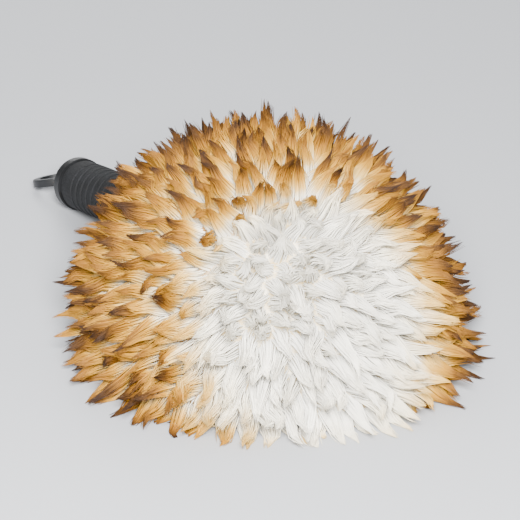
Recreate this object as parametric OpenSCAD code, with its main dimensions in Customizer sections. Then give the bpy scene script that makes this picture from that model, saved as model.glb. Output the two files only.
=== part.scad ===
// Wheel brush: a long-wool head on a moulded core, with a captive collar that locks it to a soft-grip handle.
// The brush lies on a flat surface, z = 0. Its wool is crushed flat underneath, and the end of its handle and
// its hang ring rest on the surface too, so the axis of the brush slopes up from the handle to the head.
// Places along the axis are called at_..., and are counted from the rear face of the end cap.

/* [Wool head] */
// Radius of the wool, seen from above
wool_r = 116; // [96:1:146]
// Height of the wool as it lies
wool_h = 146; // [120:1:180]
// Radius of the flat patch that the wool rests on
wool_flat_r = 97; // [70:1:108]
// Height at which the wool is widest
wool_wide_h = 26; // [18:1:34]
// Distance from the middle of the wool to its rear face
wool_back = 84; // [68:1:102]
// Height of the axis of the brush at the middle of the wool
axis_h = 64; // [58:1:72]

/* [Head core] */
// Length of the core tube
core_len = 98; // [80:1:120]
// Outer radius of the core tube
core_r = 32; // [26:0.5:38]
// Wall of the core tube
core_wall = 2.4; // [1.8:0.1:3]
// Thickness of the tanned hide
hide_t = 2.3; // [1.8:0.1:3]
// Depth of the plugs in the core tube
plug_len = 15; // [12:0.5:19]
// Thickness of the front plug's flange
plug_flange_t = 4; // [3:0.5:6]
// Radius of the splash guard
guard_r = 44; // [38:0.5:47]
// Thickness of the splash guard
guard_t = 3; // [2.4:0.1:4]

/* [Tie rod] */
// Radius of the tie rod
rod_r = 4; // [3:0.5:5]
// Distance across the flats of its nuts
nut_flats = 13; // [12:0.5:16]
// Height of its nuts
nut_h = 6.5; // [5:0.5:9]
// Radius of the front washer
washer_r = 12; // [9:0.5:15]
// Thickness of the front washer
washer_t = 2; // [1.5:0.1:2.5]

/* [Clamp band] */
// Width of the clamp band
band_w = 8; // [6:0.5:10]
// Thickness of its strap
strap_t = 1; // [0.6:0.1:1.4]
// Length of the housing of its screw, across the brush
band_house_len = 12; // [9:0.5:15]
// Height of that housing above the strap
band_house_h = 5; // [4.6:0.1:6]
// Radius of its screw
clamp_screw_r = 1.6; // [1.2:0.1:2]

/* [Handle] */
// Length of the soft grip
grip_len = 112; // [90:1:136]
// Largest radius of the soft grip
grip_r = 17.5; // [15.5:0.5:21]
// Radius of the handle core inside the grip
handle_r = 12; // [11.5:0.5:13]
// Pitch of the ribs on the grip
rib_pitch = 7; // [5:0.5:10]
// Depth of the grooves between the ribs
rib_depth = 0.9; // [0.4:0.1:1.2]
// Width of the ring between the grip and the hand stop
trim_w = 6; // [4:0.5:8]
// Radius of the hand stop
stop_r = 22; // [20:0.5:27]
// Thickness of the hand stop
stop_t = 8; // [7:0.5:10]
// Radius of the end cap
cap_r = 17; // [15:0.5:20]
// Thickness of the end cap
cap_t = 8; // [7:0.5:10]
// Radius of the end cap's screw
cap_screw_r = 2; // [1.6:0.1:2.5]
// Length of the end cap's screw under its head
cap_screw_len = 26; // [20:1:32]

/* [Lock collar] */
// Radius of the spigot that the collar turns on
spigot_r = 13.5; // [13:0.1:14.2]
// Length of the spigot
spigot_len = 22; // [20:0.5:27]
// Radius of the head's threaded boss
boss_r = 15.6; // [15.4:0.1:16.6]
// Radius of the collar under its grip
collar_r = 19.6; // [19:0.1:21]
// Thickness of the ribbed grip on the collar
collar_grip_t = 2.8; // [2:0.1:4]
// Thickness of the collar's inner flange
collar_flange_t = 9.6; // [8:0.2:11]
// Distance that the head moves in one turn of the collar
thread_lead = 4; // [3:0.5:5]
// Turns of the collar that free the head
thread_turns = 2; // [1.5:0.5:2.5]
// Distance across the flats of the head's hexagonal tang
tang_flats = 14; // [12:0.2:14.6]
// Length of the tang
tang_len = 41; // [34:1:49]
// Number of ribs on the collar
rib_count = 24; // [16:1:32]

/* [Hang ring] */
// Radius of the hole in the hang ring
hang_hole_r = 10.5; // [8:0.5:13]
// Width of the ring round its hole
hang_rim = 4.5; // [3.5:0.5:6]
// Thickness of the ring
hang_t = 5; // [4:0.5:6]
// Radius of the ring's pin
pin_r = 2; // [1.6:0.1:2.6]
// Radius of the ears that hold the pin
ear_r = 5.5; // [4.8:0.1:6.6]
// Thickness of each ear
ear_t = 4; // [3:0.5:5]
// Distance between the ears
ear_gap = 8.6; // [7:0.1:10.4]
// Distance from the end cap to the pin
pin_reach = 8; // [7.5:0.5:10]

/* [Fits] */
// Radial clearance of the collar on its spigot and of the ring on its pin
turn_gap = 0.08; // [0.04:0.01:0.1]
// Clearance round the thread and the tang
slide_gap = 0.3; // [0.2:0.05:0.4]
// Clearance of parts that are pressed or screwed together
seat_gap = 0.05; // [0.02:0.01:0.1]
// Clearance at the ends of moving parts
side_gap = 0.4; // [0.3:0.1:0.6]
// Room that the wool leaves round the clamp band and the stitches
wool_gap = 0.8; // [0.5:0.1:1.2]

/* [Hidden] */
$fn = 72;

// Places on the handle
at_screw_seat = 3;
at_grip = cap_t;
at_trim = at_grip + grip_len;
at_stop = at_trim + trim_w;
at_spigot = at_stop + stop_t;
at_spigot_end = at_spigot + spigot_len;
at_pin = -pin_reach;

// Places on the collar: its flange turns between the hand stop and the snap ring
snap_t = 1.4;
snap_groove = 1.2;
snap_opening = 7;
at_collar = at_spigot + side_gap;
at_collar_hollow = at_collar + collar_flange_t;
at_snap = at_collar_hollow + side_gap;
boss_gap = 0.6;
at_boss = at_spigot_end + boss_gap;
thread_len = thread_lead * thread_turns;
thread_depth = 0.9;
collar_lip = 4;
at_collar_end = at_boss + thread_len + collar_lip;

// Places on the head
shoulder_gap = 1;
shoulder_t = 6;
at_shoulder = at_collar_end + shoulder_gap;
at_guard = at_shoulder + shoulder_t;
at_tube = at_guard + guard_t;
at_tube_end = at_tube + core_len;
at_nose = at_tube_end + plug_flange_t;
at_front_nut = at_nose + washer_t;
rod_end = 2;
at_rod = at_boss + 6;
at_rod_end = at_front_nut + nut_h + rod_end;
at_hide = at_tube + 2;
at_band = at_hide + 2;
at_band_end = at_band + band_w;
at_pile = at_tube + 1.2;
at_middle = at_pile + wool_back;

// Radii that follow from the values above
plug_r = core_r - core_wall - seat_gap;
hide_in_r = core_r + seat_gap;
hide_r = hide_in_r + hide_t;
strap_in_r = hide_r + seat_gap;
strap_r = strap_in_r + strap_t;
clamp_screw_up = strap_r + band_house_h / 2;
clamp_head_t = 2;
clamp_end = 0.5;
stitch_r = 0.6;
stitch_len = 6;
stitch_count = 20;
guard_bead_r = 2.2;

// The tang's metal socket and the seal in front of it
socket_wall = 1.7;
socket_r = tang_flats / sqrt(3) + slide_gap + socket_wall;
socket_len = tang_len + 2;
socket_floor = 1.5;
seal_r = 0.8;
seal_mid_r = (socket_r + spigot_r) / 2;
seal_seat = 2;

// The end cap's screw, its rounded edge, and the hang ring's
cap_edge = 2.5;
screw_head_r = 3.6;
screw_head_h = 2.4;
hang_edge = 0.7;
hang_r = hang_hole_r + hang_rim;
hang_centre = ear_r + 1 + hang_r;
hang_reach = hang_centre + hang_r;

// Angle at which a rounded edge, reach away and out from an axis that starts at height h, touches the surface
function touch_angle(reach, out, edge, h) =
    asin((h - edge) / norm([reach - edge, out - edge])) - atan((out - edge) / (reach - edge));

slope = touch_angle(at_middle, cap_r, cap_edge, axis_h);
pin_h = axis_h - (at_middle - at_pin) * sin(slope);
hang_slope = touch_angle(hang_reach, hang_t / 2, hang_edge, pin_h);

// The middle of the whole brush is over the origin
hang_tail = (hang_reach - hang_edge) * cos(hang_slope) + (hang_t / 2 - hang_edge) * sin(hang_slope) + hang_edge;
tail = (at_middle - at_pin) * cos(slope) + hang_tail;
wool_x = (tail - wool_r) / 2;

// Points of an elliptical arc round [x, y], from angle a to angle b
function arc(x, y, rx, ry, a, b, steps = 6) =
    [for (i = [0:steps]) let (t = a + (b - a) * i / steps) [x + rx * cos(t), y + ry * sin(t)]];

// Radius of the grip at a share of its length: a palm swell between two flared ends
function grip_radius(share) = grip_r - 2.6 + 1.5 * sin(180 * share)
    + pow(cos(180 * share), 2) * (share < 0.5 ? 1.1 : 0.7);

// Puts what is drawn along +X, from the rear face of the end cap, on the sloping axis
module on_axis() {
    translate([wool_x, 0, axis_h]) rotate([0, -slope, 0]) translate([-at_middle, 0, 0]) children();
}

// A solid of revolution round the axis, from points [radius, place]
module turned(points) {
    rotate([0, 90, 0]) rotate_extrude() polygon(points);
}

// A round bar along the axis
module bar(r, from, to) {
    translate([from, 0, 0]) rotate([0, 90, 0]) cylinder(r = r, h = to - from);
}

// A hexagonal bar along the axis, measured across its flats
module hex_bar(flats, from, to) {
    translate([from, 0, 0]) rotate([0, 90, 0]) cylinder(r = flats / sqrt(3), h = to - from, $fn = 6);
}

// A tube along the axis
module pipe(r, bore, from, to) {
    difference() {
        bar(r, from, to);
        bar(bore, from - 1, to + 1);
    }
}

// A hexagonal nut on the tie rod, with its corners turned off
module nut(from) {
    corner = nut_flats / sqrt(3);
    bevel = 1;
    difference() {
        intersection() {
            hex_bar(nut_flats, from, from + nut_h);
            turned([[0, from], [corner - bevel, from], [corner, from + bevel], [corner, from + nut_h - bevel],
                    [corner - bevel, from + nut_h], [0, from + nut_h]]);
        }
        bar(rod_r + seat_gap, from - 1, from + nut_h + 1);
    }
}

module end_cap() {
    color("#1c1d20") on_axis() difference() {
        union() {
            turned(concat([[0, cap_t], [cap_r, cap_t]],
                          arc(cap_r - cap_edge, cap_edge, cap_edge, cap_edge, 0, -90), [[0, 0]]));
            for (side = [-1, 1]) translate([at_pin, side * (ear_gap + ear_t) / 2, 0]) {
                rotate([90, 0, 0]) cylinder(r = ear_r, h = ear_t, center = true);
                translate([0, -ear_t / 2, -ear_r]) cube([pin_reach + 1, ear_t, 2 * ear_r]);
            }
        }
        translate([at_pin, 0, 0]) rotate([90, 0, 0]) cylinder(r = pin_r + seat_gap, h = 60, center = true);
        bar(cap_screw_r + seat_gap, -1, cap_t + 1);
        bar(screw_head_r + seat_gap, -1, at_screw_seat);
    }
}

module end_cap_screw() {
    slot = [1.4, 4.6, 0.9];
    dome = 0.6;
    at_top = at_screw_seat - screw_head_h;
    color("#b9bcc1") on_axis() difference() {
        union() {
            bar(cap_screw_r, at_screw_seat, at_screw_seat + cap_screw_len);
            turned(concat([[0, at_screw_seat], [screw_head_r, at_screw_seat]],
                          arc(0, at_top + dome, screw_head_r, dome, 0, -90)));
        }
        for (turn = [0, 90]) translate([at_top + slot.x / 2 - dome, 0, 0]) rotate([turn, 0, 0])
            cube([slot.x + dome, slot.y, slot.z], center = true);
    }
}

module ring_pin() {
    head_t = 1.2;
    span = ear_gap + 2 * ear_t;
    color("#b9bcc1") on_axis() translate([at_pin, 0, 0]) rotate([90, 0, 0]) {
        cylinder(r = pin_r, h = span + 0.2, center = true);
        for (side = [-1, 1]) translate([0, 0, side * (span / 2 + 0.1 + head_t / 2)])
            cylinder(r = pin_r + 1, h = head_t, center = true);
    }
}

// The hang ring lies back from its pin and touches the surface with its far edge
module hang_ring() {
    eye_r = ear_r - 0.7;
    eye_w = ear_gap - 2 * side_gap;
    color("#232428") on_axis() translate([at_pin, 0, 0]) rotate([0, slope - hang_slope, 0]) difference() {
        union() {
            rotate([90, 0, 0]) cylinder(r = eye_r, h = eye_w, center = true);
            translate([-ear_r - 3, -eye_w / 2, -hang_t / 2]) cube([ear_r + 3, eye_w, hang_t]);
            translate([-hang_centre, 0, 0]) rotate_extrude() polygon(concat(
                [[hang_hole_r - 1, -hang_t / 2]],
                arc(hang_r - hang_edge, -hang_t / 2 + hang_edge, hang_edge, hang_edge, -90, 0, 3),
                arc(hang_r - hang_edge, hang_t / 2 - hang_edge, hang_edge, hang_edge, 0, 90, 3),
                [[hang_hole_r - 1, hang_t / 2]]));
        }
        translate([-hang_centre, 0, 0]) cylinder(r = hang_hole_r, h = hang_t + 2, center = true);
        rotate([90, 0, 0]) cylinder(r = pin_r + turn_gap, h = 30, center = true);
    }
}

module handle_core() {
    edge = 3;
    neck_r = spigot_r - snap_groove;
    at_snap_end = at_snap + snap_t + seat_gap;
    color("#202225") on_axis() difference() {
        turned(concat([[0, at_grip], [handle_r, at_grip], [handle_r, at_stop]],
                      arc(stop_r - edge, at_stop + edge, edge, edge, -90, 0),
                      arc(stop_r - edge, at_spigot - edge, edge, edge, 0, 90),
                      [[spigot_r, at_spigot], [spigot_r, at_snap], [neck_r, at_snap], [neck_r, at_snap_end],
                       [spigot_r, at_snap_end], [spigot_r, at_spigot_end], [0, at_spigot_end]]));
        bar(socket_r, at_spigot_end - seal_seat - socket_len, at_spigot_end + 1);
        pipe(seal_mid_r + seal_r, seal_mid_r - seal_r, at_spigot_end - 1.6 * seal_r, at_spigot_end + 1);
        bar(cap_screw_r + seat_gap, at_grip - 1, at_screw_seat + cap_screw_len + 2);
    }
}

module grip_sleeve() {
    plain_end = 17;
    groove_r = 1.6;
    steps = 40;
    ribs = floor((grip_len - 2 * plain_end) / rib_pitch);
    in_r = handle_r + seat_gap;
    color("#2b2c30") on_axis() rotate([0, 90, 0]) rotate_extrude() difference() {
        polygon(concat([[in_r, at_grip]],
                       [for (i = [0:steps]) [grip_radius(i / steps) - (i % steps == 0 ? 1 : 0),
                                             at_grip + grip_len * i / steps]],
                       [[in_r, at_trim]]));
        for (i = [0:ribs]) let (place = plain_end + i * rib_pitch)
            translate([grip_radius(place / grip_len) + groove_r - rib_depth, at_grip + place]) circle(r = groove_r);
    }
}

module grip_trim_ring() {
    edge = 1;
    in_r = handle_r + seat_gap;
    out_r = grip_r + 0.4;
    color("#a9a49a") on_axis() turned([[in_r, at_trim], [out_r - edge, at_trim], [out_r, at_trim + edge],
        [out_r, at_stop - edge], [out_r - edge, at_stop], [in_r, at_stop]]);
}

module hex_socket_insert() {
    to = at_spigot_end - seal_seat;
    from = to - socket_len;
    color("#b08d3e") on_axis() difference() {
        bar(socket_r - seat_gap, from, to);
        hex_bar(tang_flats + 2 * slide_gap, from + socket_floor, to + 1);
    }
}

module collar_snap_ring() {
    out_r = boss_r - 0.3;
    color("#8d9096") on_axis() difference() {
        pipe(out_r, spigot_r - snap_groove + seat_gap, at_snap + seat_gap, at_snap + snap_t);
        translate([at_snap + snap_t / 2, 0, out_r]) cube([snap_t + 2, snap_opening, out_r], center = true);
    }
}

module seal_ring() {
    color("#101012") on_axis() translate([at_spigot_end - 0.6 * seal_r, 0, 0]) rotate([0, 90, 0])
        rotate_extrude() translate([seal_mid_r, 0]) circle(r = seal_r - seat_gap);
}

module lock_collar() {
    edge = 1;
    relief = 1.4;
    hub_r = spigot_r + turn_gap;
    mouth_r = boss_r + slide_gap;
    hollow_r = boss_r + relief;
    color("#26282c") on_axis() turned([[hub_r, at_collar], [collar_r - edge, at_collar],
        [collar_r, at_collar + edge], [collar_r, at_collar_end - edge], [collar_r - edge, at_collar_end],
        [mouth_r, at_collar_end], [mouth_r, at_boss], [hollow_r, at_boss - relief],
        [hollow_r, at_collar_hollow], [hub_r, at_collar_hollow]]);
}

// Scalloped rubber grip round the collar
module collar_grip() {
    end = 3;
    edge = 1;
    scallop_depth = 0.9;
    from = at_collar + end;
    to = at_collar_end - end;
    in_r = collar_r + seat_gap;
    out_r = collar_r + collar_grip_t;
    scallop_r = 0.62 * PI * out_r / rib_count;
    color("#3a3b40") on_axis() difference() {
        turned([[in_r, from], [out_r - edge, from], [out_r, from + edge], [out_r, to - edge],
                [out_r - edge, to], [in_r, to]]);
        for (i = [1:rib_count]) rotate([360 * i / rib_count, 0, 0])
            translate([0, 0, out_r + scallop_r - scallop_depth]) bar(scallop_r, from - 1, to + 1);
    }
}

module head_hub() {
    edge = 0.8;
    groove_pitch = 2;
    grooves = floor(thread_len / groove_pitch);
    at_plug_end = at_tube + plug_len;
    color("#1f2023") on_axis() difference() {
        union() {
            hex_bar(tang_flats, at_boss - tang_len, at_boss + 1);
            turned([[0, at_boss], [boss_r - edge, at_boss], [boss_r, at_boss + edge], [boss_r, at_shoulder],
                    [core_r - edge, at_shoulder], [core_r, at_shoulder + edge], [core_r, at_guard],
                    [plug_r, at_guard], [plug_r, at_plug_end], [0, at_plug_end]]);
        }
        for (i = [1:grooves]) let (place = at_boss + i * groove_pitch)
            turned([[boss_r - thread_depth, place], [boss_r + 1, place - edge], [boss_r + 1, place + edge]]);
        bar(rod_r + seat_gap, at_rod - 1, at_plug_end + 1);
        hex_bar(nut_flats + 2 * seat_gap, at_plug_end - nut_h - 1, at_plug_end + 1);
    }
}

module splash_guard() {
    bead_at = guard_r - guard_bead_r;
    color("#17181a") on_axis() {
        pipe(bead_at, plug_r + seat_gap, at_guard, at_tube);
        translate([(at_guard + at_tube) / 2, 0, 0]) rotate([0, 90, 0]) rotate_extrude()
            translate([bead_at, 0]) circle(r = guard_bead_r);
    }
}

module core_tube() {
    color("#d8d3c4") on_axis() pipe(core_r, core_r - core_wall, at_tube, at_tube_end);
}

module front_plug() {
    edge = 1;
    flange_r = core_r - seat_gap;
    at_plug = at_tube_end - plug_len;
    color("#1f2023") on_axis() difference() {
        turned([[0, at_plug], [plug_r - edge, at_plug], [plug_r, at_plug + edge], [plug_r, at_tube_end],
                [flange_r, at_tube_end], [flange_r, at_nose - edge], [flange_r - edge, at_nose], [0, at_nose]]);
        bar(rod_r + seat_gap, at_plug - 1, at_nose + 1);
    }
}

module tie_rod() {
    edge = 0.8;
    color("#a9acb2") on_axis() turned([[0, at_rod], [rod_r - edge, at_rod], [rod_r, at_rod + edge],
        [rod_r, at_rod_end - edge], [rod_r - edge, at_rod_end], [0, at_rod_end]]);
}

module rear_nut() {
    color("#a9acb2") on_axis() nut(at_tube + plug_len - nut_h - 0.5);
}

module front_washer() {
    color("#b9bcc1") on_axis() pipe(washer_r, rod_r + slide_gap, at_nose, at_front_nut);
}

module front_nut() {
    color("#a9acb2") on_axis() nut(at_front_nut);
}

module hide_sleeve() {
    color("#d9b98a") on_axis() pipe(hide_r, hide_in_r, at_hide, at_nose);
}

// The hide is sewn into a dome over the front nut
module hide_nose() {
    color("#d9b98a") on_axis() difference() {
        translate([at_nose, 0, 0]) sphere(r = hide_r);
        translate([at_nose, 0, 0]) sphere(r = hide_in_r);
        bar(hide_r + 2, at_nose - hide_r - 2, at_nose + seat_gap);
    }
}

module seam_stitches() {
    color("#efe3c8") on_axis() for (i = [1:stitch_count]) rotate([360 * i / stitch_count, 0, 0])
        translate([0, 0, hide_r + stitch_r]) bar(stitch_r, at_nose - stitch_len / 2, at_nose + stitch_len / 2);
}

module clamp_band() {
    root = 0.6;
    color("#c2c5ca") on_axis() difference() {
        union() {
            pipe(strap_r, strap_in_r, at_band, at_band_end);
            translate([at_band, -band_house_len / 2, strap_r - root])
                cube([band_w, band_house_len, band_house_h + root]);
        }
        translate([at_band + band_w / 2, 0, clamp_screw_up]) rotate([90, 0, 0])
            cylinder(r = clamp_screw_r + seat_gap, h = 2 * band_house_len, center = true);
        bar(strap_in_r, at_band - 1, at_band_end + 1);
    }
}

module clamp_screw() {
    end = band_house_len / 2 + clamp_end;
    color("#8d9096") on_axis() translate([at_band + band_w / 2, 0, clamp_screw_up]) rotate([90, 0, 0]) {
        translate([0, 0, -end]) cylinder(r = clamp_screw_r, h = 2 * end);
        translate([0, 0, end]) cylinder(r = clamp_screw_r + 0.8, h = clamp_head_t);
    }
}

// The wool's outer shape, flat where it lies, with room for the hide, the clamp band and the stitches
module wool_pile() {
    steps = 14;
    band_room_r = strap_r + wool_gap;
    stitch_room_r = hide_r + 2 * stitch_r + wool_gap;
    house_room = band_house_len / 2 + clamp_end + clamp_head_t + wool_gap;
    color("#f1e6d2") difference() {
        translate([wool_x, 0, 0]) rotate_extrude() polygon(concat([[0, 0]],
            arc(wool_flat_r, wool_wide_h, wool_r - wool_flat_r, wool_wide_h, -90, 0),
            [for (i = [1:steps]) let (t = 90 * i / steps)
                [i == steps ? 0 : wool_r * cos(t), wool_wide_h + (wool_h - wool_wide_h) * sin(t)]]));
        on_axis() {
            bar(2 * wool_r, at_pile - 2 * wool_r, at_pile);
            bar(hide_r + seat_gap, at_pile - 1, at_nose);
            bar(band_room_r, at_pile - 1, at_band_end + wool_gap);
            bar(stitch_room_r, at_nose - stitch_len / 2 - wool_gap, at_nose + stitch_len / 2 + wool_gap);
            translate([at_nose, 0, 0]) sphere(r = hide_r + seat_gap);
            translate([at_pile - 1, -house_room, 0])
                cube([at_band_end - at_pile + 1 + wool_gap, 2 * house_room, strap_r + band_house_h + wool_gap]);
        }
    }
}

end_cap();
end_cap_screw();
ring_pin();
hang_ring();
handle_core();
grip_sleeve();
grip_trim_ring();
hex_socket_insert();
collar_snap_ring();
seal_ring();
lock_collar();
collar_grip();
head_hub();
splash_guard();
core_tube();
front_plug();
tie_rod();
rear_nut();
front_washer();
front_nut();
hide_sleeve();
hide_nose();
seam_stitches();
clamp_band();
clamp_screw();
wool_pile();
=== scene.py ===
import math

import bmesh
import bpy
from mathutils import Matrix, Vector
from mathutils.bvhtree import BVHTree


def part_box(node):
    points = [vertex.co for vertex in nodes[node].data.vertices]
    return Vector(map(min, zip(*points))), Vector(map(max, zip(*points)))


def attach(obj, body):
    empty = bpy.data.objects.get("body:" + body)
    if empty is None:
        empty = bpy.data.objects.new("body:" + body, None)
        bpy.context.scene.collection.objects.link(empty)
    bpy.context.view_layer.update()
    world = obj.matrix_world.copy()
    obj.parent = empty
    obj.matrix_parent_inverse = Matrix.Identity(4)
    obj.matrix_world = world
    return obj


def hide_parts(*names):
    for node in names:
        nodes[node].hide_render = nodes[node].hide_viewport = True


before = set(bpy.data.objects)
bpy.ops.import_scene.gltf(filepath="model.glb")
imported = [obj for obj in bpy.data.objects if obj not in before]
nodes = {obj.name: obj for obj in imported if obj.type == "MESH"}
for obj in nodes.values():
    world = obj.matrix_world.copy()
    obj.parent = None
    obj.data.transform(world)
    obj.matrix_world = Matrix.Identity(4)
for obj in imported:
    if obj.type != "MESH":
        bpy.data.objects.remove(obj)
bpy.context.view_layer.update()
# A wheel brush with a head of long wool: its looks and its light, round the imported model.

mm = 0.001


def toLinear(hexColour):
    # an sRGB hex value as the linear colour that shaders want
    parts = [int(hexColour[i:i + 2], 16) / 255 for i in (1, 3, 5)]
    return [p / 12.92 if p <= 0.04045 else ((p + 0.055) / 1.055) ** 2.4 for p in parts] + [1.0]


def addNode(tree, kind, settings=None, inputs=None):
    # one node with its settings, its plain input values and its links
    node = tree.nodes.new(kind)
    for name, value in (settings or {}).items():
        setattr(node, name, value)
    for name, value in (inputs or {}).items():
        if isinstance(value, bpy.types.NodeSocket):
            tree.links.new(value, node.inputs[name])
        else:
            node.inputs[name].default_value = value
    return node


print("camera and light")
shot = {
    # degrees: it looks over the nose of the brush, whose handle runs away to the left
    "azimuth": 60, "elevation": 25,
    "distance": 2.9, "width": 0.318,  # metres
    "target": Vector((0.052, 0.012, 0.046)),
    "sensor": 36,  # millimetres
}
softBoxes = {
    # name: (azimuth, elevation, distance, size, watts)
    "keyLight": (62, 33, 1.5, 0.5, 100),
    "fillLight": (5, 28, 1.6, 1.2, 6),
    "topLight": (205, 70, 1.4, 1.2, 9),
    "rimLight": (250, 28, 1.5, 0.7, 9),
}
surroundings = {
    "skyColour": "#F1F2F4", "skyStrength": 0.36,
    "floorColour": "#B9BBBF", "floorRoughness": 0.7,
    "floorReach": 6,  # metres from the middle to each side
}


def placeRound(data, azimuth, elevation, distance):
    # a camera or a lamp on a sphere round the target, facing it
    around = math.radians(azimuth)
    above = math.radians(elevation)
    level = math.cos(above)
    away = Vector((math.sin(around) * level, -math.cos(around) * level, math.sin(above)))
    placed = bpy.data.objects.new(data.name, data)
    placed.location = shot["target"] + away * distance
    placed.rotation_euler = (-away).to_track_quat("-Z", "Y").to_euler()
    bpy.context.scene.collection.objects.link(placed)
    return placed


cameraData = bpy.data.cameras.new("camera")
cameraData.sensor_width = shot["sensor"]
cameraData.lens = shot["sensor"] * shot["distance"] / shot["width"]
bpy.context.scene.camera = placeRound(cameraData, shot["azimuth"], shot["elevation"], shot["distance"])

for name, (azimuth, elevation, distance, size, watts) in softBoxes.items():
    lampData = bpy.data.lights.new(name, "AREA")
    lampData.shape = "DISK"
    lampData.size = size
    lampData.energy = watts
    placeRound(lampData, azimuth, elevation, distance)

studio = bpy.data.worlds.new("studio")
studio.use_nodes = True
sky = studio.node_tree.nodes["Background"].inputs
sky["Color"].default_value = toLinear(surroundings["skyColour"])
sky["Strength"].default_value = surroundings["skyStrength"]
bpy.context.scene.world = studio

floorMesh = bpy.data.meshes.new("floor")
reach = surroundings["floorReach"]
corners = [(-reach, -reach, 0), (reach, -reach, 0), (reach, reach, 0), (-reach, reach, 0)]
floorMesh.from_pydata(corners, [], [(0, 1, 2, 3)])
floor = bpy.data.objects.new("floor", floorMesh)
bpy.context.scene.collection.objects.link(floor)
paint = bpy.data.materials.new("eggshellPaintRolled")  # pale grey, flat, with no gloss to catch the lamps
paint.use_nodes = True
painted = paint.node_tree.nodes["Principled BSDF"].inputs
painted["Base Color"].default_value = toLinear(surroundings["floorColour"])
painted["Roughness"].default_value = surroundings["floorRoughness"]
floorMesh.materials.append(paint)


tailBox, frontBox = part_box("ring_pin"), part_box("front_nut")
tail = (tailBox[0] + tailBox[1]) / 2
alongBrush = ((frontBox[0] + frontBox[1]) / 2 - tail).normalized()  # the brush's own axis, handle to nose


def newFinish(name, values):
    # an empty finish: its tree, its shader with these values, and places on the object in millimetres,
    # so that a pattern with a scale of 1 / n has marks about n millimetres across
    finish = bpy.data.materials.new(name)
    finish.use_nodes = True
    tree = finish.node_tree
    shader = tree.nodes["Principled BSDF"]
    for socket, value in values.items():
        shader.inputs[socket].default_value = value
    coords = addNode(tree, "ShaderNodeTexCoord")
    places = addNode(tree, "ShaderNodeVectorMath", {"operation": "SCALE"},
                     {0: coords.outputs["Object"], "Scale": 1 / mm})
    return finish, tree, shader, places.outputs[0]


def paintRamp(tree, factor, stops):
    # colours along a ramp, (place, hex) from one end to the other
    ramp = addNode(tree, "ShaderNodeValToRGB", None, {0: factor})
    elements = ramp.color_ramp.elements
    while len(elements) < len(stops):
        elements.new(0.5)
    for element, (at, colour) in zip(elements, stops):
        element.position = at
        element.color = toLinear(colour)
    return ramp.outputs[0]


def distanceAlong(tree, places):
    # millimetres along the brush, for marks that run round it
    return addNode(tree, "ShaderNodeVectorMath", {"operation": "DOT_PRODUCT"},
                   {0: places, 1: tuple(alongBrush)}).outputs["Value"]


def mouldedNylon(name, colour, scuffed, roughness):
    # glass-filled nylon from a spark-eroded mould: dull black with a fine grain, paler where hands scuff it
    finish, tree, shader, places = newFinish(name, {"IOR": 1.53})
    grain = addNode(tree, "ShaderNodeTexNoise", None, {"Vector": places, "Scale": 1 / 0.45, "Detail": 3})
    patches = addNode(tree, "ShaderNodeTexNoise", None, {"Vector": places, "Scale": 1 / 9.0, "Detail": 5})
    tree.links.new(paintRamp(tree, patches.outputs[0], ((0.45, colour), (0.75, scuffed))),
                   shader.inputs["Base Color"])
    rough = addNode(tree, "ShaderNodeMapRange", None,
                    {0: patches.outputs[0], "To Min": roughness - 0.08, "To Max": roughness + 0.1})
    tree.links.new(rough.outputs[0], shader.inputs["Roughness"])
    bump = addNode(tree, "ShaderNodeBump", None,
                   {"Height": grain.outputs[0], "Strength": 0.5, "Distance": 0.05 * mm})
    tree.links.new(bump.outputs[0], shader.inputs["Normal"])
    return finish


def softRubber(name, colour, dusty, pebble, roughness):
    # rubber moulded with a pebble: matt, with pale dust caught between the pebbles
    finish, tree, shader, places = newFinish(name, {"IOR": 1.5, "Specular IOR Level": 0.35})
    pebbles = addNode(tree, "ShaderNodeTexVoronoi", {"feature": "SMOOTH_F1"},
                      {"Vector": places, "Scale": 1 / pebble, "Smoothness": 0.4})
    dust = addNode(tree, "ShaderNodeTexNoise", None, {"Vector": places, "Scale": 1 / 14.0, "Detail": 6})
    caught = addNode(tree, "ShaderNodeMath", {"operation": "MULTIPLY"},
                     {0: pebbles.outputs[0], 1: dust.outputs[0]})
    tree.links.new(paintRamp(tree, caught.outputs[0], ((0.12, colour), (0.5, dusty))),
                   shader.inputs["Base Color"])
    rough = addNode(tree, "ShaderNodeMapRange", None,
                    {0: dust.outputs[0], "To Min": roughness - 0.1, "To Max": roughness + 0.12})
    tree.links.new(rough.outputs[0], shader.inputs["Roughness"])
    bump = addNode(tree, "ShaderNodeBump", {"invert": True},
                   {"Height": pebbles.outputs[0], "Strength": 0.7, "Distance": 0.18 * mm})
    tree.links.new(bump.outputs[0], shader.inputs["Normal"])
    return finish


def turnedMetal(name, colour, darker, roughness, pitch):
    # metal turned, ground, drawn or rolled: fine lines round the brush, brighter and duller by turns
    finish, tree, shader, places = newFinish(name, {"Metallic": 1.0})
    cuts = addNode(tree, "ShaderNodeMath", {"operation": "DIVIDE"},
                   {0: distanceAlong(tree, places), 1: pitch})
    rings = addNode(tree, "ShaderNodeTexNoise", {"noise_dimensions": "1D"},
                    {"W": cuts.outputs[0], "Detail": 2})
    smears = addNode(tree, "ShaderNodeTexNoise", None, {"Vector": places, "Scale": 1 / 5.0, "Detail": 4})
    tree.links.new(paintRamp(tree, smears.outputs[0], ((0.35, colour), (0.7, darker))),
                   shader.inputs["Base Color"])
    rough = addNode(tree, "ShaderNodeMapRange", None,
                    {0: rings.outputs[0], "To Min": roughness - 0.08, "To Max": roughness + 0.14})
    tree.links.new(rough.outputs[0], shader.inputs["Roughness"])
    bump = addNode(tree, "ShaderNodeBump", None,
                   {"Height": rings.outputs[0], "Strength": 0.4, "Distance": 0.02 * mm})
    tree.links.new(bump.outputs[0], shader.inputs["Normal"])
    return finish


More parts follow.
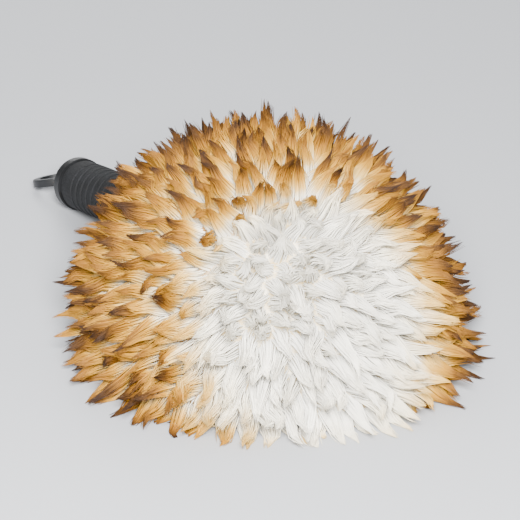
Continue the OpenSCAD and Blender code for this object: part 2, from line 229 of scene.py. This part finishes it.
def platedSteel(name, colour, tint, roughness):
    # zinc plate: a bright skin of small crystals, faintly blue and yellow in patches
    finish, tree, shader, places = newFinish(name, {"Metallic": 1.0})
    crystals = addNode(tree, "ShaderNodeTexVoronoi", None, {"Vector": places, "Scale": 1 / 0.9})
    clouds = addNode(tree, "ShaderNodeTexNoise", None, {"Vector": places, "Scale": 1 / 3.0, "Detail": 3})
    tree.links.new(paintRamp(tree, clouds.outputs[0], ((0.4, colour), (0.65, tint))),
                   shader.inputs["Base Color"])
    rough = addNode(tree, "ShaderNodeMapRange", None,
                    {0: crystals.outputs[0], "To Min": roughness - 0.05, "To Max": roughness + 0.12})
    tree.links.new(rough.outputs[0], shader.inputs["Roughness"])
    return finish


def tannedHide(name, colour, darker):
    # wool skin turned flesh side out: soft tan leather with a small grain and loose fibres
    finish, tree, shader, places = newFinish(
        name, {"Roughness": 0.82, "Sheen Weight": 0.3, "Sheen Roughness": 0.5})
    grain = addNode(tree, "ShaderNodeTexVoronoi", {"feature": "DISTANCE_TO_EDGE"},
                    {"Vector": places, "Scale": 1 / 1.4})
    mottle = addNode(tree, "ShaderNodeTexNoise", None, {"Vector": places, "Scale": 1 / 7.0, "Detail": 8})
    tree.links.new(paintRamp(tree, mottle.outputs[0], ((0.35, darker), (0.65, colour))),
                   shader.inputs["Base Color"])
    bump = addNode(tree, "ShaderNodeBump", None,
                   {"Height": grain.outputs[0], "Strength": 0.6, "Distance": 0.2 * mm})
    tree.links.new(bump.outputs[0], shader.inputs["Normal"])
    return finish


def twistedThread(name, colour, darker):
    # waxed thread, its plies drawn as slanting stripes a little coarser than they are
    finish, tree, shader, places = newFinish(name, {"Roughness": 0.55, "Sheen Weight": 0.15})
    plies = addNode(tree, "ShaderNodeTexWave", {"bands_direction": "DIAGONAL"},
                    {"Vector": places, "Scale": 1 / 1.1, "Distortion": 0.6})
    tree.links.new(paintRamp(tree, plies.outputs[0], ((0.2, darker), (0.6, colour))),
                   shader.inputs["Base Color"])
    bump = addNode(tree, "ShaderNodeBump", None, {"Height": plies.outputs[0], "Distance": 0.15 * mm})
    tree.links.new(bump.outputs[0], shader.inputs["Normal"])
    return finish


def naturalPlastic(name, colour, darker):
    # unpigmented polypropylene pipe: milky, waxy, with faint drawn lines round it
    finish, tree, shader, places = newFinish(
        name, {"IOR": 1.49, "Roughness": 0.38, "Subsurface Weight": 0.15, "Subsurface Scale": 2 * mm})
    drawn = addNode(tree, "ShaderNodeTexNoise", {"noise_dimensions": "1D"},
                    {"W": distanceAlong(tree, places), "Scale": 1.0, "Detail": 3})
    tree.links.new(paintRamp(tree, drawn.outputs[0], ((0.3, darker), (0.7, colour))),
                   shader.inputs["Base Color"])
    return finish


def tippedWool(name, colours):
    # undyed lambswool: white to cream along most of a lock, weathered to honey and brown towards its tip
    finish, tree, shader, _ = newFinish(name, {"Roughness": 0.7, "IOR": 1.55, "Specular IOR Level": 0.25})
    # the map runs across by the tone of the lock, which carries the painted highlight on the side facing the
    # camera and key light, and up from root to tip
    onLock = addNode(tree, "ShaderNodeUVMap", {"uv_map": "OFBake"})
    split = addNode(tree, "ShaderNodeSeparateXYZ", None, {0: onLock.outputs[0]})
    weatheredLessPaintedLight = addNode(tree, "ShaderNodeMath", {"operation": "MULTIPLY"},
                        {0: split.outputs["X"], 1: split.outputs["Y"]})
    tree.links.new(paintRamp(tree, weatheredLessPaintedLight.outputs[0], colours), shader.inputs["Base Color"])
    return finish


def mattedWool(name, paintedPaleStops, honeys):
    # the dense wool under the locks, felted by washing: dull soft tufts, painted pale cream as a highlight
    # where they face the camera and key light, honey elsewhere
    finish, tree, shader, places = newFinish(name, {"Roughness": 0.9, "Sheen Weight": 0.2})
    tufts = addNode(tree, "ShaderNodeTexNoise", None, {"Vector": places, "Scale": 1 / 5.0, "Detail": 7})
    pale = paintRamp(tree, tufts.outputs[0], paintedPaleStops)
    honey = paintRamp(tree, tufts.outputs[0], honeys)
    # painted highlight: tufts facing the camera and key light are mixed towards the pale cream
    outward = addNode(tree, "ShaderNodeVectorMath", {"operation": "SUBTRACT"},
                      {0: places, 1: tuple(heart / mm)})
    outward = addNode(tree, "ShaderNodeVectorMath", {"operation": "NORMALIZE"}, {0: outward.outputs[0]})
    facing = addNode(tree, "ShaderNodeVectorMath", {"operation": "DOT_PRODUCT"},
                     {0: outward.outputs[0], 1: tuple(wool["paintedHighlightTowards"])})
    weatheredLessPaintedLight = addNode(tree, "ShaderNodeMapRange", {"interpolation_type": "SMOOTHSTEP"},
                        {0: facing.outputs["Value"], 1: wool["paintedHighlightFrom"], 2: wool["mattedHoneyFrom"]})
    mixed = addNode(tree, "ShaderNodeMix", {"data_type": "RGBA"},
                    {0: weatheredLessPaintedLight.outputs[0], 6: pale, 7: honey})
    tree.links.new(mixed.outputs[2], shader.inputs["Base Color"])
    bump = addNode(tree, "ShaderNodeBump", None, {"Height": tufts.outputs[0], "Distance": 2 * mm})
    tree.links.new(bump.outputs[0], shader.inputs["Normal"])
    return finish


print("finishes")
blackNylon = mouldedNylon("glassFilledNylonSparkEroded", "#060708", "#131417", 0.45)
glossyNylon = mouldedNylon("glassFilledNylonHandled", "#08090A", "#17181B", 0.38)
zincSteel = platedSteel("zincPlatedSteel", "#B9BDC2", "#C9C3AC", 0.3)
stainless = turnedMetal("stainlessStripRolled", "#B7B9BC", "#A6A8AB", 0.3, 0.6)
hide = tannedHide("tannedSheepHide", "#D2AC72", "#A67B45")
finishOf = {
    "end_cap": blackNylon,
    "end_cap_screw": zincSteel,
    "ring_pin": turnedMetal("steelPinCentrelessGround", "#B4B6BA", "#9EA0A4", 0.28, 0.5),
    "hang_ring": glossyNylon,
    "handle_core": blackNylon,
    "grip_sleeve": softRubber("thermoplasticRubberPebbled", "#08090A", "#1C1D20", 0.9, 0.8),
    "grip_trim_ring": turnedMetal("anodisedAluminiumTurned", "#A8ABB0", "#8E9196", 0.3, 0.35),
    "hex_socket_insert": turnedMetal("brassKnurledAndTurned", "#D0AC5E", "#A9853F", 0.3, 0.4),
    "collar_snap_ring": turnedMetal("springSteelWireDrawn", "#8F9296", "#6F7276", 0.34, 0.5),
    "seal_ring": softRubber("nitrileRubberSmooth", "#101113", "#26272A", 0.5, 0.5),
    "lock_collar": glossyNylon,
    "collar_grip": softRubber("thermoplasticRubberFinePebble", "#0B0C0E", "#232428", 0.7, 0.78),
    "head_hub": blackNylon,
    "splash_guard": softRubber("ethyleneRubberMoulded", "#070809", "#17181B", 1.4, 0.62),
    "core_tube": naturalPlastic("polypropylenePipeNatural", "#E4DECB", "#CFC7AE"),
    "front_plug": blackNylon,
    "tie_rod": zincSteel,
    "rear_nut": zincSteel,
    "front_washer": zincSteel,
    "front_nut": zincSteel,
    "hide_sleeve": hide,
    "hide_nose": hide,
    "seam_stitches": twistedThread("waxedPolyesterThread", "#E9DDBF", "#B9A57B"),
    "clamp_band": stainless,
    "clamp_screw": stainless,
}
for name, finish in finishOf.items():
    nodes[name].data.materials.clear()
    nodes[name].data.materials.append(finish)


print("wool form")
# the shape comes from the wool's own CAD solid: rays towards the middle of the head find its skin
woolLow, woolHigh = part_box("wool_pile")
woolRadius = woolHigh.y
middle = Vector((woolHigh.x - woolRadius, 0, 0))
heart = tail + alongBrush * ((middle.x - tail.x) / alongBrush.x)  # on the brush's axis, inside the wool

wool = {
    "inset": 26 * mm,  # how deep under the skin the visible locks are rooted
    "flatInset": 2 * mm,  # the same where the wool is crushed flat, underneath and at the back
    "rings": 60, "steps": 96,  # rays from tail to nose, and round the axis
    "leastSlope": 0.35, "leastDepth": 0.4,  # these keep the form whole where a ray grazes the skin
    "lockSpacing": 7.8 * mm,
    "rootDensity": 1e5,  # per square metre, more than the spacing leaves
    "strands": 64000, "pieces": 10, "pointsEach": 5,
    "lockLength": 31.5 * mm, "lockChance": (0.8, 1.08), "strandChance": (0.85, 1.03),
    "strandRadius": 0.5 * mm,  # coarser than a fibre, so that single strands show
    "taper": 0.9, "taperPower": 2.2,
    "spread": 0.5,  # 0: locks stand straight off the form, 1: they point straight away from the heart
    "lean": 0.3,  # how far a lock leans to any side, as a share of its own direction
    "combedBack": 0.3,  # how far the locks at the back are combed towards the handle
    "combedFrom": -0.5, "combedFully": -0.85,  # cosines between a lock's normal and the brush's axis
    "clump": 0.95, "gatherPower": 1.75,
    "straysFrom": 0.8, "strayHold": 0.35,  # one strand in five is a stray, drawn in less, down to this
    "curl": 4.5 * mm, "curlSize": 18 * mm,
    "frizz": 1.1 * mm, "frizzSize": 7 * mm,
    "noiseGain": 4.0,  # noise keeps within about a quarter of its middle, so this brings it to 1
    "droop": 0.1,
    "pressedFrom": 3 * mm, "pressedTo": 0.7 * mm,  # heights between which a lock flattens
    "halfWidth": woolRadius + 15 * mm,
    "bareBehind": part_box("splash_guard")[1].y + 7 * mm,  # radius round the brush's axis
    "paintedHighlightTowards": Vector((0.949, -0.279, 0.14)),  # the side towards the camera and key light, where the wool is painted pale as a highlight
    "paintedHighlightFrom": 0.86, "honeyFrom": 0.44, "mattedHoneyFrom": 0.46,  # cosines of the angle from that side
    "honey": (0.04, 0.74), "toneSpread": 0.36, "toneRange": (0.02, 0.96),  # shares of the way to dark brown
    # a pale lock keeps to the start of these from root to tip, and a brown one runs on towards their end
    "lockColours": ((0.0, "#FFFDF6"), (0.1, "#FBF1D8"), (0.22, "#E3BE70"), (0.36, "#C08C28"),
                    (0.52, "#95631A"), (0.68, "#5A380D"), (0.86, "#321C08")),
    # the cream of the matted wool's painted pale side, where it faces the camera and key light, and the
    # honey of the rest
    "mattedPaintedPale": ((0.35, "#C9B07E"), (0.62, "#F3E8D2")),
    "mattedHoney": ((0.35, "#5A380E"), (0.62, "#B98532")),
    "toneStep": 0.012,  # gives the three sides of a strand some width on the bake's map
    "seed": 7,
}

skin = nodes["wool_pile"].data
skinRays = BVHTree.FromPolygons([v.co for v in skin.vertices], [p.vertices[:] for p in skin.polygons])


def woolForm():
    # a closed form inside the wool's skin, from a grid of rays round the brush's axis
    across = Vector((0, 1, 0))
    upwards = alongBrush.cross(across) * -1
    verts, faces = [], []
    for i in range(wool["rings"] + 1):
        fromTail = math.pi * i / wool["rings"]
        for j in range(wool["steps"]):
            turn = 2 * math.pi * j / wool["steps"]
            ray = (-alongBrush * math.cos(fromTail)
                   + (across * math.cos(turn) + upwards * math.sin(turn)) * math.sin(fromTail))
            hit, normal, _, _ = skinRays.ray_cast(heart + ray, -ray)
            behind = max(0.0, -normal.dot(alongBrush))
            under = max(0.0, -normal.z)
            inset = wool["inset"] * (1 - under) + wool["flatInset"] * under
            inset = inset * (1 - behind) + wool["flatInset"] * behind
            depth = (hit - heart).length
            slope = max(wool["leastSlope"], abs(normal.dot(ray)))
            verts.append(heart + ray * max(depth - inset / slope, depth * wool["leastDepth"]))
            if i:
                here = i * wool["steps"] + j
                beside = i * wool["steps"] + (j + 1) % wool["steps"]
                faces.append((here - wool["steps"], beside - wool["steps"], beside, here))
    mesh = bpy.data.meshes.new("woolForm")
    mesh.from_pydata(verts, [], faces)
    form = bpy.data.objects.new("wool_mass", mesh)
    bpy.context.scene.collection.objects.link(form)
    work = bmesh.new()
    work.from_mesh(mesh)
    bmesh.ops.remove_doubles(work, verts=work.verts, dist=0.05 * mm)
    bmesh.ops.smooth_vert(work, verts=work.verts, factor=0.5,
                          use_axis_x=True, use_axis_y=True, use_axis_z=True)
    bmesh.ops.recalc_face_normals(work, faces=work.faces)
    for face in work.faces:
        face.smooth = True
    work.to_mesh(mesh)
    work.free()
    return form


def lockTree():
    # grows the locks: each strand leaves the form, draws to the middle of the nearest lock, curls with it
    tree = bpy.data.node_groups.new("woolLocks", "GeometryNodeTree")
    sockets = {}
    tree.interface.new_socket("Geometry", in_out="INPUT", socket_type="NodeSocketGeometry")
    for name, kind, value in (
            ("Lock spacing", "NodeSocketFloat", wool["lockSpacing"]),
            ("Strand density", "NodeSocketFloat", wool["rootDensity"]),
            ("Lock length", "NodeSocketFloat", wool["lockLength"]),
            ("Strand radius", "NodeSocketFloat", wool["strandRadius"]),
            ("Clump", "NodeSocketFloat", wool["clump"]),
            ("Curl", "NodeSocketFloat", wool["curl"]),
            ("Curl size", "NodeSocketFloat", wool["curlSize"]),
            ("Frizz", "NodeSocketFloat", wool["frizz"]),
            ("Frizz size", "NodeSocketFloat", wool["frizzSize"]),
            ("Droop", "NodeSocketFloat", wool["droop"]),
            ("Heart", "NodeSocketVector", heart),
            ("Along brush", "NodeSocketVector", alongBrush),
            ("Painted highlight towards", "NodeSocketVector", wool["paintedHighlightTowards"]),
            ("Bare behind", "NodeSocketFloat", wool["bareBehind"]),
            ("Pieces", "NodeSocketInt", wool["pieces"]),
            ("Piece", "NodeSocketInt", 0),
            ("Seed", "NodeSocketInt", wool["seed"]),
            ("Material", "NodeSocketMaterial", None)):
        socket = tree.interface.new_socket(name, in_out="INPUT", socket_type=kind)
        if value is not None:
            socket.default_value = value
        sockets[name] = socket.identifier
    tree.interface.new_socket("Geometry", in_out="OUTPUT", socket_type="NodeSocketGeometry")
    sizes = addNode(tree, "NodeGroupInput").outputs
    result = addNode(tree, "NodeGroupOutput")

    locks = addNode(tree, "GeometryNodeDistributePointsOnFaces", {"distribute_method": "POISSON"},
                    {"Mesh": sizes["Geometry"], "Distance Min": sizes["Lock spacing"],
                     "Density Max": wool["rootDensity"], "Seed": sizes["Seed"]})
    locks = addNode(tree, "GeometryNodeStoreNamedAttribute",
                    {"data_type": "FLOAT_VECTOR", "domain": "POINT"},
                    {"Geometry": locks.outputs["Points"], "Name": "rootNormal",
                     "Value": locks.outputs["Normal"]})
    strands = addNode(tree, "GeometryNodeDistributePointsOnFaces", {"distribute_method": "RANDOM"},
                      {"Mesh": sizes["Geometry"], "Density": sizes["Strand density"], "Seed": sizes["Seed"]})
    # this piece's share of the strands
    index = addNode(tree, "GeometryNodeInputIndex").outputs[0]
    share = addNode(tree, "FunctionNodeIntegerMath", {"operation": "MODULO"},
                    {0: index, 1: sizes["Pieces"]})
    others = addNode(tree, "FunctionNodeCompare", {"data_type": "INT", "operation": "NOT_EQUAL"},
                     {"A": share.outputs[0], "B": sizes["Piece"]})
    kept = addNode(tree, "GeometryNodeDeleteGeometry", {"domain": "POINT"},
                   {"Geometry": strands.outputs["Points"], "Selection": others.outputs[0]})
    # none grows behind the head where the splash guard lies on it
    root = addNode(tree, "GeometryNodeInputPosition").outputs[0]
    fromHeart = addNode(tree, "ShaderNodeVectorMath", {"operation": "SUBTRACT"},
                        {0: root, 1: sizes["Heart"]})
    ahead = addNode(tree, "ShaderNodeVectorMath", {"operation": "DOT_PRODUCT"},
                    {0: fromHeart.outputs[0], 1: sizes["Along brush"]})
    aside = addNode(tree, "ShaderNodeVectorMath", {"operation": "CROSS_PRODUCT"},
                    {0: fromHeart.outputs[0], 1: sizes["Along brush"]})
    aside = addNode(tree, "ShaderNodeVectorMath", {"operation": "LENGTH"}, {0: aside.outputs[0]})
    isBehind = addNode(tree, "FunctionNodeCompare", {"operation": "LESS_THAN"},
                       {0: ahead.outputs["Value"], 1: 0.0})
    isNear = addNode(tree, "FunctionNodeCompare", {"operation": "LESS_THAN"},
                     {0: aside.outputs["Value"], 1: sizes["Bare behind"]})
    underGuard = addNode(tree, "FunctionNodeBooleanMath", {"operation": "AND"},
                         {0: isBehind.outputs[0], 1: isNear.outputs[0]})
    kept = addNode(tree, "GeometryNodeDeleteGeometry", {"domain": "POINT"},
                   {"Geometry": kept.outputs[0], "Selection": underGuard.outputs[0]})

    # the lock that a strand belongs to
    nearest = addNode(tree, "GeometryNodeSampleNearest", {"domain": "POINT"},
                      {"Geometry": locks.outputs[0]})
    lockRoot = addNode(tree, "GeometryNodeSampleIndex", {"data_type": "FLOAT_VECTOR", "domain": "POINT"},
                       {"Geometry": locks.outputs[0], "Value": root,
                        "Index": nearest.outputs[0]}).outputs[0]
    rootNormal = addNode(tree, "GeometryNodeInputNamedAttribute", {"data_type": "FLOAT_VECTOR"},
                         {"Name": "rootNormal"}).outputs[0]
    lockNormal = addNode(tree, "GeometryNodeSampleIndex", {"data_type": "FLOAT_VECTOR", "domain": "POINT"},
                         {"Geometry": locks.outputs[0], "Value": rootNormal,
                          "Index": nearest.outputs[0]}).outputs[0]

    # its direction: between the normal and straight out from the heart, combed outwards behind the head
    outward = addNode(tree, "ShaderNodeVectorMath", {"operation": "SUBTRACT"},
                      {0: lockRoot, 1: sizes["Heart"]})
    radial = addNode(tree, "ShaderNodeVectorMath", {"operation": "NORMALIZE"}, {0: outward.outputs[0]})
    along = addNode(tree, "ShaderNodeVectorMath", {"operation": "DOT_PRODUCT"},
                    {0: outward.outputs[0], 1: sizes["Along brush"]})
    onAxis = addNode(tree, "ShaderNodeVectorMath", {"operation": "SCALE"},
                     {0: sizes["Along brush"], "Scale": along.outputs["Value"]})
    sideways = addNode(tree, "ShaderNodeVectorMath", {"operation": "SUBTRACT"},
                       {0: outward.outputs[0], 1: onAxis.outputs[0]})
    sideways = addNode(tree, "ShaderNodeVectorMath", {"operation": "NORMALIZE"}, {0: sideways.outputs[0]})
    facing = addNode(tree, "ShaderNodeVectorMath", {"operation": "DOT_PRODUCT"},
                     {0: lockNormal, 1: sizes["Along brush"]})
    behind = addNode(tree, "ShaderNodeMapRange", {"interpolation_type": "SMOOTHSTEP"},
                     {"Value": facing.outputs["Value"],
                      "From Min": wool["combedFrom"], "From Max": wool["combedFully"]})
    grown = addNode(tree, "ShaderNodeMix", {"data_type": "VECTOR"},
                    {"Factor": wool["spread"], 4: lockNormal, 5: radial.outputs[0]})
    backwards = addNode(tree, "ShaderNodeVectorMath", {"operation": "MULTIPLY_ADD"},
                        {0: sizes["Along brush"], 1: [-wool["combedBack"]] * 3, 2: sideways.outputs[0]})
    combed = addNode(tree, "ShaderNodeMix", {"data_type": "VECTOR"},
                     {"Factor": behind.outputs["Result"], 4: grown.outputs[1], 5: backwards.outputs[0]})
    lean = addNode(tree, "FunctionNodeRandomValue", {"data_type": "FLOAT_VECTOR"},
                   {0: [-wool["lean"]] * 3, 1: [wool["lean"]] * 3, "ID": nearest.outputs[0], "Seed": 3})
    leaning = addNode(tree, "ShaderNodeVectorMath", {"operation": "ADD"},
                      {0: combed.outputs[1], 1: lean.outputs[0]})
    direction = addNode(tree, "ShaderNodeVectorMath", {"operation": "NORMALIZE"}, {0: leaning.outputs[0]})

    # its length, and its tone: painted pale on the nose, where it faces the camera and key light, as a
    # painted highlight; honey round the sides
    lengthChance = addNode(tree, "FunctionNodeRandomValue", {"data_type": "FLOAT"},
                           {2: wool["lockChance"][0], 3: wool["lockChance"][1],
                            "ID": nearest.outputs[0], "Seed": 5})
    strandChance = addNode(tree, "FunctionNodeRandomValue", {"data_type": "FLOAT"},
                           {2: wool["strandChance"][0], 3: wool["strandChance"][1], "Seed": 9})
    length = addNode(tree, "ShaderNodeMath", {"operation": "MULTIPLY"},
                     {0: lengthChance.outputs[1], 1: strandChance.outputs[1]})
    length = addNode(tree, "ShaderNodeMath", {"operation": "MULTIPLY"},
                     {0: length.outputs[0], 1: sizes["Lock length"]})
    # painted highlight: the nearer a lock points towards the camera and key light, the paler its tone
    towardsPaintedHighlight = addNode(tree, "ShaderNodeVectorMath", {"operation": "DOT_PRODUCT"},
                       {0: radial.outputs[0], 1: sizes["Painted highlight towards"]})
    honey = addNode(tree, "ShaderNodeMapRange", {"interpolation_type": "SMOOTHSTEP"},
                    {"Value": towardsPaintedHighlight.outputs["Value"],
                     "From Min": wool["paintedHighlightFrom"], "From Max": wool["honeyFrom"],
                     "To Min": wool["honey"][0], "To Max": wool["honey"][1]})
    toneChance = addNode(tree, "FunctionNodeRandomValue", {"data_type": "FLOAT"},
                         {2: -wool["toneSpread"], 3: wool["toneSpread"],
                          "ID": nearest.outputs[0], "Seed": 13})
    chanceHere = addNode(tree, "ShaderNodeMath", {"operation": "MULTIPLY"},
                         {0: honey.outputs["Result"], 1: toneChance.outputs[1]})
    tone = addNode(tree, "ShaderNodeMath", {"operation": "ADD"},
                   {0: honey.outputs["Result"], 1: chanceHere.outputs[0]})
    tone = addNode(tree, "ShaderNodeClamp", None,
                   {0: tone.outputs[0], 1: wool["toneRange"][0], 2: wool["toneRange"][1]})

    # what a strand's points need of it is kept by name
    offset = addNode(tree, "ShaderNodeVectorMath", {"operation": "SUBTRACT"}, {0: root, 1: lockRoot})
    grid = kept.outputs[0]
    for name, kind, value in (
            ("root", "FLOAT_VECTOR", root),
            ("offset", "FLOAT_VECTOR", offset.outputs[0]),
            ("lockRoot", "FLOAT_VECTOR", lockRoot),
            ("direction", "FLOAT_VECTOR", direction.outputs[0]),
            ("length", "FLOAT", length.outputs[0]),
            ("tone", "FLOAT", tone.outputs[0]),
            ("strand", "INT", index)):
        grid = addNode(tree, "GeometryNodeStoreNamedAttribute", {"data_type": kind, "domain": "POINT"},
                       {"Geometry": grid, "Name": name, "Value": value}).outputs[0]
    stored = {}
    for name, kind in (("root", "FLOAT_VECTOR"), ("offset", "FLOAT_VECTOR"), ("lockRoot", "FLOAT_VECTOR"),
                       ("direction", "FLOAT_VECTOR"), ("length", "FLOAT"), ("tone", "FLOAT"),
                       ("strand", "INT"), ("up", "FLOAT"), ("side", "FLOAT")):
        stored[name] = addNode(tree, "GeometryNodeInputNamedAttribute", {"data_type": kind},
                               {"Name": name}).outputs[0]

    # a few points a strand, "up" running from 0 at its root to 1 at its tip
    rows = addNode(tree, "GeometryNodeDuplicateElements", {"domain": "POINT"},
                   {"Geometry": grid, "Amount": wool["pointsEach"]})
    up = addNode(tree, "ShaderNodeMath", {"operation": "DIVIDE"},
                 {0: rows.outputs[1], 1: wool["pointsEach"] - 1.0})
    rows = addNode(tree, "GeometryNodeStoreNamedAttribute", {"data_type": "FLOAT", "domain": "POINT"},
                   {"Geometry": rows.outputs[0], "Name": "up", "Value": up.outputs[0]})

    reach = addNode(tree, "ShaderNodeMath", {"operation": "MULTIPLY"},
                    {0: stored["up"], 1: stored["length"]})
    straight = addNode(tree, "ShaderNodeVectorMath", {"operation": "SCALE"},
                       {0: stored["direction"], "Scale": reach.outputs[0]})
    position = addNode(tree, "ShaderNodeVectorMath", {"operation": "ADD"},
                       {0: stored["root"], 1: straight.outputs[0]})
    # strands of a lock draw together towards its tip, all but a few strays
    gather = addNode(tree, "ShaderNodeMath", {"operation": "POWER"},
                     {0: stored["up"], 1: wool["gatherPower"]})
    gather = addNode(tree, "ShaderNodeMath", {"operation": "MULTIPLY"},
                     {0: gather.outputs[0], 1: sizes["Clump"]})
    stray = addNode(tree, "FunctionNodeRandomValue", {"data_type": "FLOAT"},
                    {"ID": stored["strand"], "Seed": 17})
    held = addNode(tree, "ShaderNodeMapRange", None,
                   {"Value": stray.outputs[1], "From Min": wool["straysFrom"], "From Max": 1.0,
                    "To Min": 1.0, "To Max": wool["strayHold"]})
    gather = addNode(tree, "ShaderNodeMath", {"operation": "MULTIPLY"},
                     {0: gather.outputs[0], 1: held.outputs[0]})
    drawn = addNode(tree, "ShaderNodeVectorMath", {"operation": "SCALE"},
                    {0: stored["offset"], "Scale": gather.outputs[0]})
    position = addNode(tree, "ShaderNodeVectorMath", {"operation": "SUBTRACT"},
                       {0: position.outputs[0], 1: drawn.outputs[0]})
    # the lock curls as one, and each strand has some frizz of its own
    lockPlace = addNode(tree, "ShaderNodeVectorMath", {"operation": "ADD"},
                        {0: stored["lockRoot"], 1: straight.outputs[0]})
    for place, size, scale in ((lockPlace.outputs[0], sizes["Curl"], sizes["Curl size"]),
                               (position.outputs[0], sizes["Frizz"], sizes["Frizz size"])):
        scaled = addNode(tree, "ShaderNodeMath", {"operation": "DIVIDE"}, {0: 1.0, 1: scale})
        noise = addNode(tree, "ShaderNodeTexNoise", {"noise_dimensions": "3D"},
                        {"Vector": place, "Scale": scaled.outputs[0], "Detail": 1.0})
        centred = addNode(tree, "ShaderNodeVectorMath", {"operation": "SUBTRACT"},
                          {0: noise.outputs["Color"], 1: (0.5, 0.5, 0.5)})
        grownIn = addNode(tree, "ShaderNodeMath", {"operation": "MULTIPLY"}, {0: stored["up"], 1: size})
        swing = addNode(tree, "ShaderNodeMath", {"operation": "MULTIPLY"},
                        {0: grownIn.outputs[0], 1: wool["noiseGain"]})
        swung = addNode(tree, "ShaderNodeVectorMath", {"operation": "SCALE"},
                        {0: centred.outputs[0], "Scale": swing.outputs[0]})
        position = addNode(tree, "ShaderNodeVectorMath", {"operation": "ADD"},
                           {0: position.outputs[0], 1: swung.outputs[0]})
    # weight bends it down, and what it lies on presses it flat
    sag = addNode(tree, "ShaderNodeMath", {"operation": "MULTIPLY"}, {0: reach.outputs[0], 1: stored["up"]})
    sag = addNode(tree, "ShaderNodeMath", {"operation": "MULTIPLY"}, {0: sag.outputs[0], 1: sizes["Droop"]})
    split = addNode(tree, "ShaderNodeSeparateXYZ", None, {0: position.outputs[0]})
    height = addNode(tree, "ShaderNodeMath", {"operation": "SUBTRACT"},
                     {0: split.outputs["Z"], 1: sag.outputs[0]})
    above = addNode(tree, "ShaderNodeMath", {"operation": "SUBTRACT"},
                    {0: height.outputs[0], 1: wool["pressedFrom"]})
    pressed = addNode(tree, "ShaderNodeMath", {"operation": "DIVIDE"},
                      {0: above.outputs[0], 1: wool["pressedFrom"]})
    pressed = addNode(tree, "ShaderNodeMath", {"operation": "EXPONENT"}, {0: pressed.outputs[0]})
    pressed = addNode(tree, "ShaderNodeMath", {"operation": "MULTIPLY_ADD"},
                      {0: pressed.outputs[0], 1: wool["pressedFrom"] - wool["pressedTo"],
                       2: wool["pressedTo"]})
    clear = addNode(tree, "ShaderNodeMath", {"operation": "GREATER_THAN"}, {0: above.outputs[0], 1: 0.0})
    height = addNode(tree, "ShaderNodeMix", {"data_type": "FLOAT"},
                     {"Factor": clear.outputs[0], 2: pressed.outputs[0], 3: height.outputs[0]})
    # no stray reaches further to the sides than the combed wool does
    within = addNode(tree, "ShaderNodeClamp", None,
                     {0: split.outputs["Y"], 1: -wool["halfWidth"], 2: wool["halfWidth"]})
    position = addNode(tree, "ShaderNodeCombineXYZ", None,
                       {"X": split.outputs["X"], "Y": within.outputs[0], "Z": height.outputs[0]})
    placed = addNode(tree, "GeometryNodeSetPosition", None,
                     {"Geometry": rows.outputs[0], "Position": position.outputs[0]})

    curves = addNode(tree, "GeometryNodePointsToCurves", None,
                     {"Points": placed.outputs[0], "Curve Group ID": stored["strand"],
                      "Weight": stored["up"]})
    thin = addNode(tree, "ShaderNodeMath", {"operation": "POWER"}, {0: stored["up"], 1: wool["taperPower"]})
    thin = addNode(tree, "ShaderNodeMath", {"operation": "MULTIPLY_ADD"},
                   {0: thin.outputs[0], 1: -wool["taper"], 2: 1.0})
    radius = addNode(tree, "ShaderNodeMath", {"operation": "MULTIPLY"},
                     {0: thin.outputs[0], 1: sizes["Strand radius"]})
    section = addNode(tree, "GeometryNodeCurvePrimitiveCircle", None, {"Resolution": 3, "Radius": 1.0})
    tubes = addNode(tree, "GeometryNodeCurveToMesh", None,
                    {"Curve": curves.outputs[0], "Profile Curve": section.outputs[0],
                     "Scale": radius.outputs[0], "Fill Caps": True})
    # the bake's map: across by the lock's tone, up by the place on the strand
    sides = addNode(tree, "FunctionNodeIntegerMath", {"operation": "MODULO"},
                    {0: index, 1: section.inputs["Resolution"].default_value})
    across = addNode(tree, "ShaderNodeMath", {"operation": "MULTIPLY_ADD"},
                     {0: sides.outputs[0], 1: wool["toneStep"], 2: stored["tone"]})
    tubes = addNode(tree, "GeometryNodeStoreNamedAttribute", {"data_type": "FLOAT", "domain": "POINT"},
                    {"Geometry": tubes.outputs[0], "Name": "side", "Value": across.outputs[0]})
    onMap = addNode(tree, "ShaderNodeCombineXYZ", None, {"X": stored["side"], "Y": stored["up"]})
    mapped = addNode(tree, "GeometryNodeStoreNamedAttribute", {"data_type": "FLOAT2", "domain": "CORNER"},
                     {"Geometry": tubes.outputs[0], "Name": "OFBake", "Value": onMap.outputs[0]})
    last = mapped.outputs[0]
    # only the map stays on the mesh
    for name in stored:
        last = addNode(tree, "GeometryNodeRemoveAttribute", None,
                       {"Geometry": last, "Name": name}).outputs[0]
    smooth = addNode(tree, "GeometryNodeSetShadeSmooth", {"domain": "FACE"}, {"Geometry": last})
    real = addNode(tree, "GeometryNodeRealizeInstances", None, {"Geometry": smooth.outputs[0]})
    finished = addNode(tree, "GeometryNodeSetMaterial", None,
                       {"Geometry": real.outputs[0], "Material": sizes["Material"]})
    tree.links.new(finished.outputs[0], result.inputs[0])
    return tree, sockets


print("wool locks")
form = woolForm()
form.data.materials.append(mattedWool("mattedLambswool", wool["mattedPaintedPale"], wool["mattedHoney"]))
area = sum(p.area for p in form.data.polygons)
lockNodes, sockets = lockTree()
lockFinish = tippedWool("tippedLambswool", wool["lockColours"])
for i in range(wool["pieces"]):
    grower = bpy.data.objects.new("grower", form.data)
    bpy.context.scene.collection.objects.link(grower)
    modifier = grower.modifiers.new("locks", "NODES")
    modifier.node_group = lockNodes
    modifier[sockets["Strand density"]] = wool["strands"] / area
    modifier[sockets["Piece"]] = i
    modifier[sockets["Material"]] = lockFinish
    mesh = bpy.data.meshes.new_from_object(grower.evaluated_get(bpy.context.evaluated_depsgraph_get()))
    bpy.data.objects.remove(grower)
    locks = bpy.data.objects.new(f"wool_locks_{i + 1}", mesh)
    bpy.context.scene.collection.objects.link(locks)
    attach(locks, "head")
    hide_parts("wool_pile")
    print("  piece", i + 1, "of", wool["pieces"], len(mesh.polygons), "faces")
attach(form, "head")
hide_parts("wool_pile")
